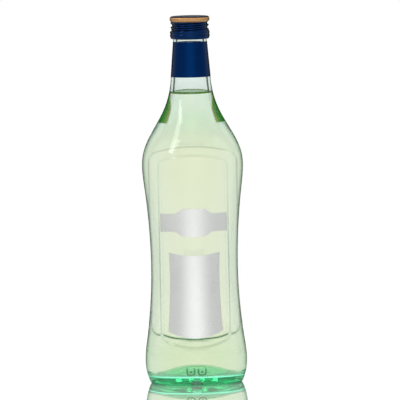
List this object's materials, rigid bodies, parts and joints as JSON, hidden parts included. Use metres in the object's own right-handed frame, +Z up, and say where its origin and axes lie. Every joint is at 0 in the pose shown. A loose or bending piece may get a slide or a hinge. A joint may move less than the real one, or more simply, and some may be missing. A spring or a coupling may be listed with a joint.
{
  "type": "vermouth bottle",
  "caption": "Full, shut bottle of pale vermouth: waisted green-tinted clear glass with pressed label panels, blue screw cap with a gold rim, blue neck band, blank silver labels.",
  "frame": {"origin": "centre of the ring that the bottle stands on, on the table", "axes": "+Z up the bottle's axis, the labels face -Y, +X is to the right as seen from the front"},
  "size_m": [0.0818, 0.0818, 0.295],
  "materials": {
    "bottle_glass": "clear bottle glass with a green tint, deep green where it is thick",
    "vermouth": "clear pale straw-green drink",
    "cap_lacquer": "glossy blue lacquer on aluminium, with a copper-gold lacquered rim",
    "band_foil": "satin blue foil band",
    "label_silver": "satin silver foil paper, blank"
  },
  "bodies": {
    "root": {"glass_bottle": "bottle_glass", "vermouth": "vermouth", "screw_cap": "cap_lacquer", "neck_band": "band_foil", "upper_label": "label_silver", "lower_label": "label_silver"}
  },
  "joints": []
}
